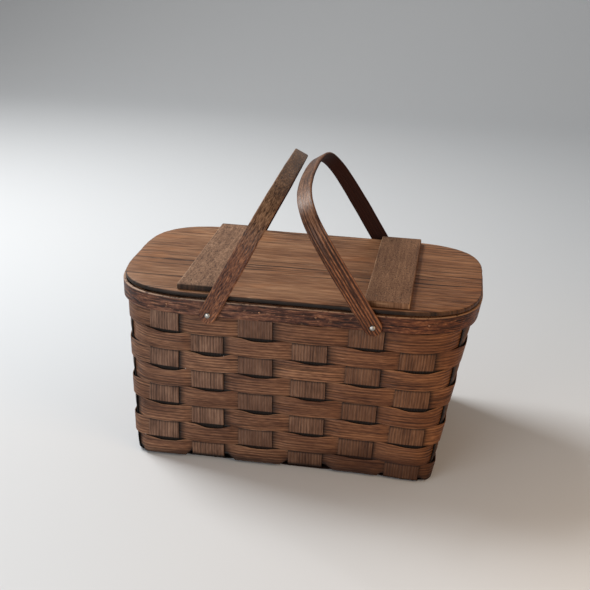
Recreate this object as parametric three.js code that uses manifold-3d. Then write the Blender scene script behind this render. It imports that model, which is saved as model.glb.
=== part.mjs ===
import * as THREE from 'three';
import { mergeVertices } from 'three/addons/utils/BufferGeometryUtils.js';
import Module from 'manifold-3d';

const wasm = await Module();
wasm.setup();

// A woven splint picnic basket with a lift-off board lid and two bent-wood swing handles.
// Millimetres, +Z up. X runs along the length, the front looks towards -Y.
// The origin is on the ground under the middle of the rim.

// Overall form
const lidLength = 460;
const lidWidth = 299;
const lidTopHeight = 223;
const lidReveal = 2.5;
const lidCorner = 130;
const lidCornerShare = 0.66;
const baseLength = 378;
const baseWidth = 286;
const baseLeftCorner = 24;
const baseRightCorner = 25;
const baseDrift = -6.5;
const fitGap = 0.3;
const cutOverrun = 1;

// Woven wall
const splintThickness = 1.5;
const splintWidth = 40;
const weaverThickness = 1.5;
const rowCount = 9;
const rowGap = 0.8;
const firstRowDrop = 21.9;
const bottomRowHeight = 17.2;
const bendRadius = 5.5;
const bottomRowSag = 4;
const bottomRowClearance = 1;
const frontTopShares = [-0.709, -0.467, -0.199, 0.11, 0.421, 0.712];
const frontBaseShares = [-0.79, -0.485, -0.165, 0.168, 0.493, 0.806];
const endTopShares = [-0.57, -0.19, 0.19, 0.57];
const leftBaseShares = [-0.815, -0.28, 0.22, 0.64];
const rightBaseShares = [-0.79, -0.27, 0.22, 0.64];

// Rim hoops
const rimThickness = 4;
const rimHeight = 21;
const rimSlack = 0.5;
const innerRimHeight = 19;
const innerRimRise = 1.7;

// Lid board and its two battens
const lidThickness = 5.5;
const lidShift = new THREE.Vector2(1.2, -0.8);
const lidTurn = THREE.MathUtils.degToRad(-0.55);
const battenWidth = 55;
const battenThickness = 7;
const battenSetback = 8;
const battenCentre = 116;

// Swing handles
const hoopThickness = 4.5;
const hoopFootWidth = 22.5;
const hoopTopWidth = 20;
const hoopFootReach = 11;
const hoopShoulderHeight = 82;
const hoopSpread = 3;
const hoopShoulderPull = 76;
const hoopCrownPull = 143;
const hoopPlay = 0.6;
const leftHandleHeight = 180;
const rightHandleHeight = 186.5;
const leftPivotRise = 4;
const rightPivotRise = 6.5;
const leftCrownOffset = 21;
const rightCrownOffset = 0.2;
const pivotOffsetShare = 0.439;

// Pivot bolts
const boltRadius = 2.2;
const boltHeadRadius = 4.6;
const boltHeadHeight = 2.4;
const boltTail = 1.5;
const boltCrownShares = [[1, 0], [0.9, 0.5], [0.5, 0.9]];
const washerRadius = 6;
const washerThickness = 1;
const nutAcrossFlats = 8;
const nutThickness = 3.2;

// Nails
const nailHeadRadius = 1.9;
const nailHeadHeight = 0.7;
const nailCrownShare = 0.7;
const nailRadius = 0.8;
const nailClearance = 0.2;
const nailTip = 0.6;
const rimNailDropShare = 0.45;
const rimNailStationShare = 0.11;
const battenNailInset = 13;
const battenNailEndInset = 20;
const battenNailBite = 4;

// Fineness of the round forms
const outlineSteps = 40;
const boardCornerSteps = 16;
const plainGapSteps = 2;
const cornerGapSteps = 4;
const bendSteps = 3;
const crownSteps = 14;
const footSteps = 12;
const boreSides = 10;
const boltSides = 14;
const washerSides = 12;
const nailSides = 6;
const normalReachShare = 0.05;

// Levels worked out from the sizes above
const lidBottom = lidTopHeight - lidThickness;
const innerRimTop = lidBottom - fitGap;
const outerRimTop = innerRimTop - innerRimRise;
const outerRimLow = outerRimTop - rimHeight;
const wallTop = outerRimTop - fitGap;
const waveHeight = (splintThickness + weaverThickness) / 2 + fitGap;
const halfStack = waveHeight + weaverThickness / 2;
const weaveLift = (splintThickness + fitGap) / 2;
const baseLevel = weaveLift + splintThickness / 2;
const wallFoot = baseLevel + bendRadius;
const bendInside = bendRadius - splintThickness / 2;
const bendReach = bendRadius - waveHeight + weaverThickness / 2;
const bottomRowLow = wallFoot - Math.sqrt(bendInside ** 2 - bendReach ** 2) + bottomRowClearance;
const firstRowLow = wallTop - firstRowDrop;
const rowsAboveBottom = rowCount - 2;
const rowPitch = (firstRowLow - bottomRowLow - bottomRowHeight - rowGap) / rowsAboveBottom;
const weaverWidth = rowPitch - rowGap;
const rimFaceInset = halfStack + rimSlack + rimThickness;
const nailReach = rimFaceInset + halfStack + rimSlack + rimThickness;

// Both handles turn on bolts the same way from the middle, and lean until their crowns almost meet
const pivotOffset = (lidLength / 2) * pivotOffsetShare;

function handle(name, side, height, pivotRise, crownOffset) {
  const lean = Math.asin((pivotOffset - crownOffset) / height);
  return { name, side, height, pivotHeight: outerRimLow + pivotRise, lean };
}

const handles = [
  handle('left_handle', -1, leftHandleHeight, leftPivotRise, leftCrownOffset),
  handle('right_handle', 1, rightHandleHeight, rightPivotRise, rightCrownOffset),
];

// Outlines seen from above, run anticlockwise from the middle of the left end
function outline(halfLength, halfWidth, leftCorner, rightCorner, cornerShare, drift, cornerSteps) {
  const points = [];
  const quadrants = [[-1, -1, false], [1, -1, true], [1, 1, false], [-1, 1, true]];
  for (const [signX, signY, reversed] of quadrants) {
    const corner = signX < 0 ? leftCorner : rightCorner;
    for (let i = 0; i <= cornerSteps; i += 1) {
      const step = reversed ? cornerSteps - i : i;
      const angle = (step / cornerSteps) * (Math.PI / 2);
      const across = halfLength - corner + corner * Math.cos(angle) ** cornerShare;
      const along = halfWidth - corner + corner * Math.sin(angle) ** cornerShare;
      points.push(new THREE.Vector2(signX * across + drift, signY * along));
    }
  }
  return points;
}

class Loop {
  constructor(points) {
    this.points = points;
    this.lengths = [0];
    for (let i = 0; i < points.length; i += 1) {
      const next = points[(i + 1) % points.length];
      this.lengths.push(this.lengths[i] + points[i].distanceTo(next));
    }
    this.total = this.lengths[points.length];
  }

  at(length) {
    const wrapped = ((length % this.total) + this.total) % this.total;
    let i = 0;
    while (i < this.points.length - 1 && this.lengths[i + 1] < wrapped) i += 1;
    const span = this.lengths[i + 1] - this.lengths[i];
    const share = span > 0 ? (wrapped - this.lengths[i]) / span : 0;
    return this.points[i].clone().lerp(this.points[(i + 1) % this.points.length], share);
  }

  // Length along the loop where it crosses one coordinate on one side
  crossing(axis, value, otherSign) {
    const other = axis === 'x' ? 'y' : 'x';
    for (let i = 0; i < this.points.length; i += 1) {
      const a = this.points[i];
      const b = this.points[(i + 1) % this.points.length];
      const rightSide = Math.sign((a[other] + b[other]) / 2) === otherSign;
      if (rightSide && (a[axis] - value) * (b[axis] - value) <= 0 && a[axis] !== b[axis]) {
        const share = (value - a[axis]) / (b[axis] - a[axis]);
        return this.lengths[i] + share * (this.lengths[i + 1] - this.lengths[i]);
      }
    }
    throw new Error('the outline never reaches that place');
  }
}

const topHalfLength = lidLength / 2 + lidReveal - rimFaceInset;
const topHalfWidth = lidWidth / 2 + lidReveal - rimFaceInset;
const topCorner = lidCorner + lidReveal - rimFaceInset;
const baseHalfWidth = baseWidth / 2;
const baseHalfLength = baseLength / 2;
const topLoop = new Loop(outline(
  topHalfLength, topHalfWidth, topCorner, topCorner, lidCornerShare, 0, outlineSteps,
));
const baseLoop = new Loop(outline(
  baseHalfLength, baseHalfWidth, baseLeftCorner, baseRightCorner, 1, baseDrift, outlineSteps,
));

// Places of the twenty uprights round the wall: front, right end, back, left end
function uprightLengths(loop, halfLength, halfWidth, drift, frontShares, leftShares, rightShares) {
  const lengths = [];
  for (const share of frontShares) lengths.push(loop.crossing('x', share * halfLength + drift, -1));
  for (const share of rightShares) lengths.push(loop.crossing('y', share * halfWidth, 1));
  for (const share of [...frontShares].reverse()) {
    lengths.push(loop.crossing('x', share * halfLength + drift, 1));
  }
  for (const share of [...leftShares].reverse()) {
    const length = loop.crossing('y', share * halfWidth, -1);
    lengths.push(length < lengths[0] ? length + loop.total : length);
  }
  return lengths;
}

const topLengths = uprightLengths(
  topLoop, topHalfLength, topHalfWidth, 0, frontTopShares, endTopShares, endTopShares,
);
const baseLengths = uprightLengths(
  baseLoop, baseHalfLength, baseHalfWidth, baseDrift, frontBaseShares, leftBaseShares, rightBaseShares,
);
const uprightCount = topLengths.length;
const edgeShare = 1 / 3;

// A station runs from one upright to the next; an upright covers a third of it on each side
function lengthAtStation(loop, lengths, station) {
  const turns = Math.floor(station / uprightCount);
  const place = station - turns * uprightCount;
  const index = Math.floor(place + edgeShare);
  const offset = place - index;
  const here = lengths[index % uprightCount] + (index === uprightCount ? loop.total : 0);
  const half = splintWidth / 2;
  if (offset <= edgeShare) return turns * loop.total + here + (offset / edgeShare) * half;
  const next = index + 1 < uprightCount ? lengths[index + 1] : lengths[0] + loop.total;
  const share = (offset - edgeShare) / (1 - 2 * edgeShare);
  return turns * loop.total + THREE.MathUtils.lerp(here + half, next - half, share);
}

function wallPoint(station, height) {
  const rise = (height - wallFoot) / (wallTop - wallFoot);
  const low = baseLoop.at(lengthAtStation(baseLoop, baseLengths, station));
  const high = topLoop.at(lengthAtStation(topLoop, topLengths, station));
  return low.lerp(high, rise);
}

function wallNormal(station, height) {
  const before = wallPoint(station - normalReachShare, height);
  const ahead = wallPoint(station + normalReachShare, height).sub(before);
  return new THREE.Vector2(ahead.y, -ahead.x).normalize();
}

// Square to the wall's slope as well as to its outline
function wallFacing(station, height) {
  const normal = wallNormal(station, height);
  const lean = wallPoint(station, wallTop).sub(wallPoint(station, wallFoot)).dot(normal);
  return new THREE.Vector3(normal.x, normal.y, -lean / (wallTop - wallFoot)).normalize();
}

function wallSpot(station, height, offset) {
  const point = wallPoint(station, height).addScaledVector(wallNormal(station, height), offset);
  return new THREE.Vector3(point.x, point.y, height);
}

// Closed bodies lofted through sections whose first half is the outer face
function loft(sections, closed) {
  const count = sections[0].length;
  const half = count / 2;
  const positions = sections.flat().flatMap((point) => [point.x, point.y, point.z]);
  const index = [];
  const quad = (a, b, c, d) => index.push(a, b, c, a, c, d);
  const lastSection = closed ? sections.length : sections.length - 1;
  for (let j = 0; j < lastSection; j += 1) {
    const next = (j + 1) % sections.length;
    for (let i = 0; i < count; i += 1) {
      const side = (i + 1) % count;
      quad(j * count + i, next * count + i, next * count + side, j * count + side);
    }
  }
  if (!closed) {
    const end = (sections.length - 1) * count;
    for (let i = 0; i < half - 1; i += 1) {
      const mate = count - 1 - i;
      quad(i, i + 1, mate - 1, mate);
      quad(end + i, end + mate, end + mate - 1, end + i + 1);
    }
  }
  const geometry = new THREE.BufferGeometry();
  geometry.setAttribute('position', new THREE.Float32BufferAttribute(positions, 3));
  geometry.setIndex(signedVolume(positions, index) < 0 ? flipped(index) : index);
  return geometry;
}

function signedVolume(positions, index) {
  const corner = (i) => new THREE.Vector3().fromArray(positions, index[i] * 3);
  let volume = 0;
  for (let i = 0; i < index.length; i += 3) {
    volume += corner(i).dot(corner(i + 1).cross(corner(i + 2)));
  }
  return volume;
}

function flipped(index) {
  const swapped = [];
  for (let i = 0; i < index.length; i += 3) swapped.push(index[i], index[i + 2], index[i + 1]);
  return swapped;
}

// Boolean helpers
function toSolid(geometry) {
  const bare = geometry.clone();
  bare.deleteAttribute('normal');
  bare.deleteAttribute('uv');
  const merged = mergeVertices(bare);
  const vertProperties = new Float32Array(merged.attributes.position.array);
  const triVerts = new Uint32Array(merged.index.array);
  return new wasm.Manifold(new wasm.Mesh({ numProp: 3, vertProperties, triVerts }));
}

function toGeometry(solid) {
  const mesh = solid.getMesh();
  const geometry = new THREE.BufferGeometry();
  geometry.setAttribute('position', new THREE.Float32BufferAttribute(mesh.vertProperties, 3));
  geometry.setIndex(new THREE.BufferAttribute(mesh.triVerts, 1));
  return geometry;
}

function cut(geometry, tools) {
  let solid = toSolid(geometry);
  for (const tool of tools) solid = solid.subtract(toSolid(tool));
  return toGeometry(solid);
}

// A rod along a direction, for holes and shanks
function rod(from, to, radius, sides) {
  const length = from.distanceTo(to);
  const geometry = new THREE.CylinderGeometry(radius, radius, length, sides);
  const up = new THREE.Vector3(0, 1, 0);
  const direction = to.clone().sub(from).normalize();
  geometry.applyQuaternion(new THREE.Quaternion().setFromUnitVectors(up, direction));
  const middle = from.clone().lerp(to, 0.5);
  return geometry.translate(middle.x, middle.y, middle.z);
}

// A turned piece on an axis: profile points are (radius, distance along the axis)
function turned(profile, origin, direction, sides) {
  const geometry = new THREE.LatheGeometry(profile.map(([r, y]) => new THREE.Vector2(r, y)), sides);
  const up = new THREE.Vector3(0, 1, 0);
  geometry.applyQuaternion(new THREE.Quaternion().setFromUnitVectors(up, direction));
  geometry.translate(origin.x, origin.y, origin.z);
  return geometry;
}

const materials = {
  weaver: new THREE.MeshStandardMaterial({ color: '#7d563d', roughness: 0.62, metalness: 0 }),
  splint: new THREE.MeshStandardMaterial({ color: '#6e5444', roughness: 0.7, metalness: 0 }),
  rim: new THREE.MeshStandardMaterial({ color: '#5c3b2c', roughness: 0.66, metalness: 0 }),
  board: new THREE.MeshStandardMaterial({ color: '#99704c', roughness: 0.55, metalness: 0 }),
  batten: new THREE.MeshStandardMaterial({ color: '#7f6857', roughness: 0.75, metalness: 0 }),
  handle: new THREE.MeshStandardMaterial({ color: '#633d2c', roughness: 0.48, metalness: 0 }),
  steel: new THREE.MeshStandardMaterial({ color: '#8b8a86', roughness: 0.4, metalness: 1 }),
  copper: new THREE.MeshStandardMaterial({ color: '#a9704c', roughness: 0.45, metalness: 1 }),
};

const basket = new THREE.Group();
const lid = new THREE.Group();
const model = new THREE.Group();
model.add(basket, lid);

function addPiece(group, name, geometry, material) {
  const mesh = new THREE.Mesh(geometry, material);
  mesh.name = name;
  group.add(mesh);
  return mesh;
}

// Pivot bolts and rim nails both pass through the rims and the wall between them
function wallHalfWidth(height) {
  const rise = (height - wallFoot) / (wallTop - wallFoot);
  return THREE.MathUtils.lerp(baseHalfWidth, topHalfWidth, rise);
}

const pivots = handles.flatMap(({ side, pivotHeight }) => [-1, 1].map((facing) => ({
  side,
  facing,
  place: new THREE.Vector3(side * pivotOffset, facing * wallHalfWidth(pivotHeight), pivotHeight),
})));
const rimFace = Math.max(wallHalfWidth(outerRimTop), wallHalfWidth(outerRimLow)) + rimFaceInset;
const hoopFoot = rimFace + hoopPlay + hoopThickness / 2;
const boreRadius = boltRadius + fitGap;
const boreReach = hoopFoot + hoopThickness + cutOverrun;
const boreTools = pivots.map(({ place, facing }) => rod(
  new THREE.Vector3(place.x, place.y - facing * nailReach, place.z),
  new THREE.Vector3(place.x, facing * boreReach, place.z),
  boreRadius,
  boreSides,
));

// Nails hold every upright of the front and back that has no bolt, and one at each end
const nailUprights = [0, 2, 3, 5, 6, 10, 12, 13, 15, 16];
const nailHeight = outerRimTop - rimHeight * rimNailDropShare;
const nailSpots = nailUprights.map((upright) => ({
  direction: wallFacing(upright + rimNailStationShare, nailHeight),
  face: wallSpot(upright + rimNailStationShare, nailHeight, rimFaceInset),
}));
const nailTools = nailSpots.map(({ face, direction }) => rod(
  face.clone().addScaledVector(direction, -nailReach),
  face.clone().addScaledVector(direction, cutOverrun),
  nailRadius + nailClearance,
  nailSides,
));

// Weavers: rings that pass outside one upright and inside the next
const cornerStations = [5, 9, 15, 19];

function ringStations() {
  const stations = [];
  for (let k = 0; k < uprightCount; k += 1) {
    stations.push(k - edgeShare, k, k + edgeShare);
    const steps = cornerStations.includes(k) ? cornerGapSteps : plainGapSteps;
    for (let i = 1; i < steps; i += 1) {
      stations.push(k + edgeShare + (i / steps) * (1 - 2 * edgeShare));
    }
  }
  return stations;
}

function weave(station, row) {
  const index = Math.floor(station + edgeShare);
  const offset = station - index;
  const here = (index + row) % 2 === 0 ? 1 : -1;
  if (offset <= edgeShare) return -here;
  const share = (offset - edgeShare) / (1 - 2 * edgeShare);
  return -here * Math.cos(share * Math.PI);
}

function rowLevels(row) {
  const low = firstRowLow - row * rowPitch;
  const high = row === 0 ? wallTop : low + weaverWidth;
  if (row < rowCount - 1) return { low, high, sag: 0 };
  return { low: bottomRowLow, high: bottomRowLow + bottomRowHeight, sag: bottomRowSag };
}

for (let row = 0; row < rowCount; row += 1) {
  const { low, high, sag } = rowLevels(row);
  const sections = ringStations().map((station) => {
    const wave = weave(station, row + 1);
    const drop = low - sag * Math.max(0, wave);
    const middle = wave * waveHeight;
    const outer = middle + weaverThickness / 2;
    const inner = middle - weaverThickness / 2;
    return [
      wallSpot(station, drop, outer),
      wallSpot(station, high, outer),
      wallSpot(station, high, inner),
      wallSpot(station, drop, inner),
    ];
  });
  let geometry = loft(sections, true);
  if (row === 0) geometry = cut(geometry, [...boreTools, ...nailTools]);
  addPiece(basket, `weaver_row_${row}`, geometry, materials.weaver);
}

// Splints: each goes down one wall, under the base and up the opposite wall
function legLevels(rowsPerStep) {
  const levels = [];
  for (let row = 0; row < rowCount; row += rowsPerStep) levels.push(rowLevels(row).high);
  return [...levels, wallFoot];
}

function legStation(index, column, level) {
  const station = index + column * edgeShare;
  const normal = wallNormal(station, level);
  const point = wallPoint(station, level);
  return {
    point: new THREE.Vector3(point.x, point.y, level),
    normal: new THREE.Vector3(normal.x, normal.y, 0),
  };
}

function bendStation(index, column, angle) {
  const foot = wallPoint(index + column * edgeShare, wallFoot);
  const normal = wallNormal(index, wallFoot);
  const outward = new THREE.Vector3(normal.x, normal.y, 0);
  const direction = outward.clone().multiplyScalar(Math.cos(angle));
  direction.z -= Math.sin(angle);
  const centre = new THREE.Vector3(foot.x, foot.y, wallFoot).addScaledVector(outward, -bendRadius);
  return { point: centre.addScaledVector(direction, bendRadius), normal: direction };
}

// The stretch under the basket passes over and under the splints that cross it
function baseStretch(startIndex, endIndex, column, crossings) {
  const start = bendStation(startIndex, column, Math.PI / 2).point;
  const end = bendStation(endIndex, -column, Math.PI / 2).point;
  const axis = Math.abs(end.x - start.x) > Math.abs(end.y - start.y) ? 'x' : 'y';
  return crossings.flatMap(({ place, lift }) => [-1, 1].map((edge) => {
    const along = place + edge * Math.sign(end[axis] - start[axis]) * (splintWidth / 2);
    const share = (along - start[axis]) / (end[axis] - start[axis]);
    const point = start.clone().lerp(end, share);
    point.z = baseLevel + lift * weaveLift;
    return { point, normal: new THREE.Vector3(0, 0, -1) };
  }));
}

function splint(startIndex, endIndex, crossings, levels) {
  const columns = [-1, 0, 1].map((column) => {
    const stations = levels.map((level) => legStation(startIndex, column, level));
    for (let i = 1; i <= bendSteps; i += 1) {
      stations.push(bendStation(startIndex, column, (i / bendSteps) * (Math.PI / 2)));
    }
    stations.push(...baseStretch(startIndex, endIndex, column, crossings));
    for (let i = bendSteps; i >= 1; i -= 1) {
      stations.push(bendStation(endIndex, -column, (i / bendSteps) * (Math.PI / 2)));
    }
    for (const level of [...levels].reverse()) stations.push(legStation(endIndex, -column, level));
    return stations;
  });
  const sections = columns[0].map((unused, i) => {
    const faces = (side) => columns.map((stations) => {
      const { point, normal } = stations[i];
      return point.clone().addScaledVector(normal, side * (splintThickness / 2));
    });
    return [...faces(1), ...faces(-1).reverse()];
  });
  return loft(sections, false);
}

const crossPlaces = frontBaseShares.map((share) => share * baseHalfLength + baseDrift);
const crossCount = crossPlaces.length;
const lengthCount = leftBaseShares.length;

// Where a long splint lies across the base when it passes one of the cross splints
function lengthPlace(j, x) {
  const run = (x - baseDrift + baseHalfLength) / baseLength;
  return THREE.MathUtils.lerp(leftBaseShares[j], rightBaseShares[j], run) * baseHalfWidth;
}

for (let i = 0; i < crossCount; i += 1) {
  const crossings = leftBaseShares.map((unused, j) => ({
    place: lengthPlace(j, crossPlaces[i]),
    lift: (i + j) % 2 === 0 ? -1 : 1,
  }));
  const endIndex = 2 * crossCount + lengthCount - 1 - i;
  const besideCorner = i === 0 || i === crossCount - 1;
  let geometry = splint(i, endIndex, crossings, legLevels(besideCorner ? 1 : 2));
  geometry = cut(geometry, [...boreTools, ...nailTools]);
  addPiece(basket, `cross_splint_${i + 1}`, geometry, materials.splint);
}

for (let j = 0; j < lengthCount; j += 1) {
  const crossings = crossPlaces.map((place, i) => ({ place, lift: (i + j) % 2 === 0 ? 1 : -1 }));
  const startIndex = crossCount + j;
  const endIndex = uprightCount - 1 - j;
  let geometry = splint(startIndex, endIndex, [...crossings].reverse(), legLevels(1));
  geometry = cut(geometry, nailTools);
  addPiece(basket, `long_splint_${j + 1}`, geometry, materials.splint);
}

// Rim hoops clamp the top of the wall between them
function rimHoop(low, high, centreOffset) {
  const sections = ringStations().map((station) => [
    wallSpot(station, low, centreOffset + rimThickness / 2),
    wallSpot(station, high, centreOffset + rimThickness / 2),
    wallSpot(station, high, centreOffset - rimThickness / 2),
    wallSpot(station, low, centreOffset - rimThickness / 2),
  ]);
  return cut(loft(sections, true), [...boreTools, ...nailTools]);
}

const rimOffset = halfStack + rimSlack + rimThickness / 2;
addPiece(basket, 'outer_rim', rimHoop(outerRimLow, outerRimTop, rimOffset), materials.rim);
addPiece(basket, 'inner_rim', rimHoop(innerRimTop - innerRimHeight, innerRimTop, -rimOffset), materials.rim);

// Rim nails
function nail(face, direction, reach) {
  const shankEnd = -reach + nailTip;
  const profile = [
    [0, shankEnd],
    [nailRadius, shankEnd],
    [nailRadius, nailClearance],
    [nailHeadRadius, nailClearance],
    [nailHeadRadius * nailCrownShare, nailClearance + nailHeadHeight],
    [0, nailClearance + nailHeadHeight],
  ];
  return turned(profile, face, direction, nailSides);
}

for (const [i, { face, direction }] of nailSpots.entries()) {
  addPiece(basket, `rim_nail_${i + 1}`, nail(face, direction, nailReach), materials.copper);
}

// Pivot bolts with a washer and nut inside the basket

function boredRing(outerRadius, sides, thickness) {
  const shape = new THREE.Shape();
  for (let i = 0; i < sides; i += 1) {
    const angle = (i / sides) * 2 * Math.PI;
    shape.lineTo(outerRadius * Math.cos(angle), outerRadius * Math.sin(angle));
  }
  shape.curves.shift();
  shape.closePath();
  const bore = new THREE.Path();
  bore.absarc(0, 0, boreRadius, 0, 2 * Math.PI, true);
  shape.holes.push(bore);
  const options = { depth: thickness, bevelEnabled: false, curveSegments: boreSides / 2 };
  return new THREE.ExtrudeGeometry(shape, options);
}

function alongY(geometry, facing, place, level) {
  geometry.rotateX(facing * (Math.PI / 2));
  return geometry.translate(place.x, facing * level, place.z);
}

for (const { side, facing, place } of pivots) {
  const tag = `${facing < 0 ? 'front' : 'back'}_${side < 0 ? 'left' : 'right'}`;
  const washerEdges = [place.z - washerRadius, place.z + washerRadius].map(wallHalfWidth);
  const washerSeat = Math.min(...washerEdges) - rimFaceInset - fitGap;
  const nutSeat = washerSeat - washerThickness - fitGap;
  const headSeat = hoopFoot + hoopThickness / 2 + fitGap;
  const tail = nutSeat - nutThickness - boltTail;
  const profile = [
    [0, tail],
    [boltRadius, tail],
    [boltRadius, headSeat],
    ...boltCrownShares.map(([wide, tall]) => [boltHeadRadius * wide, headSeat + boltHeadHeight * tall]),
    [0, headSeat + boltHeadHeight],
  ];
  const axis = new THREE.Vector3(0, facing, 0);
  const origin = new THREE.Vector3(place.x, 0, place.z);
  addPiece(basket, `pivot_bolt_${tag}`, turned(profile, origin, axis, boltSides), materials.steel);
  const washer = boredRing(washerRadius, washerSides, washerThickness);
  addPiece(basket, `pivot_washer_${tag}`, alongY(washer, facing, place, washerSeat), materials.steel);
  const nut = boredRing(nutAcrossFlats / Math.sqrt(3), 6, nutThickness);
  addPiece(basket, `pivot_nut_${tag}`, alongY(nut, facing, place, nutSeat), materials.steel);
}

// Swing handles: a bent strap whose feet turn on the bolts
function hoopCentreLine(height) {
  const foot = new THREE.Vector2(hoopFoot, 0);
  const shoulder = new THREE.Vector2(hoopFoot + hoopSpread, hoopShoulderHeight);
  const rise = shoulder.clone().sub(foot).normalize();
  const curve = new THREE.CubicBezierCurve(
    shoulder,
    shoulder.clone().addScaledVector(rise, hoopShoulderPull),
    new THREE.Vector2(hoopCrownPull, height),
    new THREE.Vector2(0, height),
  );
  const start = foot.clone().addScaledVector(rise, -hoopFootReach);
  const half = [start, ...curve.getPoints(crownSteps)];
  const mirrored = half.slice(0, -1).reverse().map((point) => new THREE.Vector2(-point.x, point.y));
  return [...half, ...mirrored];
}

function hoopBand(height) {
  const line = hoopCentreLine(height);
  const side = (offset) => line.map((point, i) => {
    const before = line[Math.max(0, i - 1)];
    const after = line[Math.min(line.length - 1, i + 1)];
    const along = after.clone().sub(before).normalize();
    return new THREE.Vector2(point.x - offset * along.y, point.y + offset * along.x);
  });
  const shape = new THREE.Shape([...side(-hoopThickness / 2), ...side(hoopThickness / 2).reverse()]);
  const geometry = new THREE.ExtrudeGeometry(shape, { depth: hoopFootWidth, bevelEnabled: false });
  geometry.translate(0, 0, -hoopFootWidth / 2);
  const turn = new THREE.Matrix4().makeBasis(
    new THREE.Vector3(0, 1, 0),
    new THREE.Vector3(0, 0, 1),
    new THREE.Vector3(1, 0, 0),
  );
  return geometry.applyMatrix4(turn);
}

// The strap seen face on: round feet, a little narrower at the crown
function hoopFace(height) {
  const half = hoopFootWidth / 2;
  const topHalf = hoopTopWidth / 2;
  const shape = new THREE.Shape();
  shape.absarc(0, 0, half, Math.PI, 2 * Math.PI, false);
  shape.lineTo(half, hoopShoulderHeight);
  shape.lineTo(topHalf, height);
  shape.lineTo(topHalf, height + hoopThickness);
  shape.lineTo(-topHalf, height + hoopThickness);
  shape.lineTo(-topHalf, height);
  shape.lineTo(-half, hoopShoulderHeight);
  const depth = 2 * (hoopFoot + hoopSpread + hoopThickness + cutOverrun);
  const options = { depth, bevelEnabled: false, curveSegments: footSteps };
  const geometry = new THREE.ExtrudeGeometry(shape, options);
  geometry.translate(0, 0, -depth / 2);
  return geometry.rotateX(Math.PI / 2);
}

for (const { name, side, height, pivotHeight, lean } of handles) {
  const band = toSolid(hoopBand(height)).intersect(toSolid(hoopFace(height)));
  const bore = rod(
    new THREE.Vector3(0, -boreReach, 0),
    new THREE.Vector3(0, boreReach, 0),
    boreRadius,
    boreSides,
  );
  const geometry = toGeometry(band.subtract(toSolid(bore)));
  const mesh = addPiece(model, name, geometry, materials.handle);
  mesh.position.set(side * pivotOffset, 0, pivotHeight);
  mesh.rotation.y = -side * lean;
}

// Lid board with two battens nailed across it
const battenTop = lidTopHeight + fitGap + battenThickness;
const battenLength = lidWidth - 2 * battenSetback;
const battenNails = [-1, 1].flatMap((side) => [-1, 0, 1].flatMap((row) => [-1, 1].map((column) => ({
  side,
  x: side * battenCentre + column * (battenWidth / 2 - battenNailInset),
  y: row * (battenLength / 2 - battenNailEndInset),
}))));
const battenNailTools = battenNails.map(({ x, y }) => rod(
  new THREE.Vector3(x, y, lidTopHeight - battenNailBite),
  new THREE.Vector3(x, y, battenTop + cutOverrun),
  nailRadius + nailClearance,
  nailSides,
));

const boardShape = new THREE.Shape(
  outline(lidLength / 2, lidWidth / 2, lidCorner, lidCorner, lidCornerShare, 0, boardCornerSteps),
);
const board = new THREE.ExtrudeGeometry(boardShape, { depth: lidThickness, bevelEnabled: false });
board.translate(0, 0, lidBottom);
addPiece(lid, 'lid_board', cut(board, battenNailTools), materials.board);

for (const side of [-1, 1]) {
  const batten = new THREE.BoxGeometry(battenWidth, battenLength, battenThickness);
  batten.translate(side * battenCentre, 0, battenTop - battenThickness / 2);
  const name = side < 0 ? 'batten_left' : 'batten_right';
  addPiece(lid, name, cut(batten, battenNailTools), materials.batten);
}

for (const [i, { x, y }] of battenNails.entries()) {
  const up = new THREE.Vector3(0, 0, 1);
  const head = new THREE.Vector3(x, y, battenTop);
  const reach = battenThickness + battenNailBite;
  addPiece(lid, `batten_nail_${i + 1}`, nail(head, up, reach), materials.steel);
}

lid.position.set(lidShift.x, lidShift.y, 0);
lid.rotation.z = lidTurn;

export default model;
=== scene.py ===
import math

import bpy
import numpy as np
from mathutils import Matrix, Vector


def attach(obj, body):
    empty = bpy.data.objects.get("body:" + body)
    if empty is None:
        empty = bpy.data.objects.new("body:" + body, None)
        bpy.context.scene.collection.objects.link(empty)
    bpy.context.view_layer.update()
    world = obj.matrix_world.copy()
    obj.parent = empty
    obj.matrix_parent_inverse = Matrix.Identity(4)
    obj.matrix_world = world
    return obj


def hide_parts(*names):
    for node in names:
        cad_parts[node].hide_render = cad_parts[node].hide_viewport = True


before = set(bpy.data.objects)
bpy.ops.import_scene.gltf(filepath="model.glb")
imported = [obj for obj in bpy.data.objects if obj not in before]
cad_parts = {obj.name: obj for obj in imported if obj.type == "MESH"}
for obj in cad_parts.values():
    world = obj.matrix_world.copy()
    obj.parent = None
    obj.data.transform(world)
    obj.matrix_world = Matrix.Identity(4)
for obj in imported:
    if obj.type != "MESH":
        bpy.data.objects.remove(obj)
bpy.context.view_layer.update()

# A woven splint picnic basket with a board lid and two bent-wood swing handles.
# Sizes are the real ones in millimetres, and meshes are written in metres.
millimetre = 0.001

# Outline of the lid, and the woven wall from the base to the rim
lid_length = 460
lid_width = 299
lid_top = 223
lid_reveal = 2.5
lid_corner = 130
lid_corner_share = 0.66
base_length = 378
base_width = 286
base_left_corner = 24
base_right_corner = 25
base_drift = -6.5
fit_gap = 0.3
splint_thickness = 1.5
splint_width = 40
weaver_thickness = 1.5
row_count = 9
row_gap = 0.8
first_row_drop = 21.9
bottom_row_height = 17.2
bend_radius = 5.5
bottom_row_sag = 4
bottom_row_clearance = 1
front_top_shares = [-0.709, -0.467, -0.199, 0.11, 0.421, 0.712]
front_base_shares = [-0.79, -0.485, -0.165, 0.168, 0.493, 0.806]
end_top_shares = [-0.57, -0.19, 0.19, 0.57]
left_base_shares = [-0.815, -0.28, 0.22, 0.64]
right_base_shares = [-0.79, -0.27, 0.22, 0.64]

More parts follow.
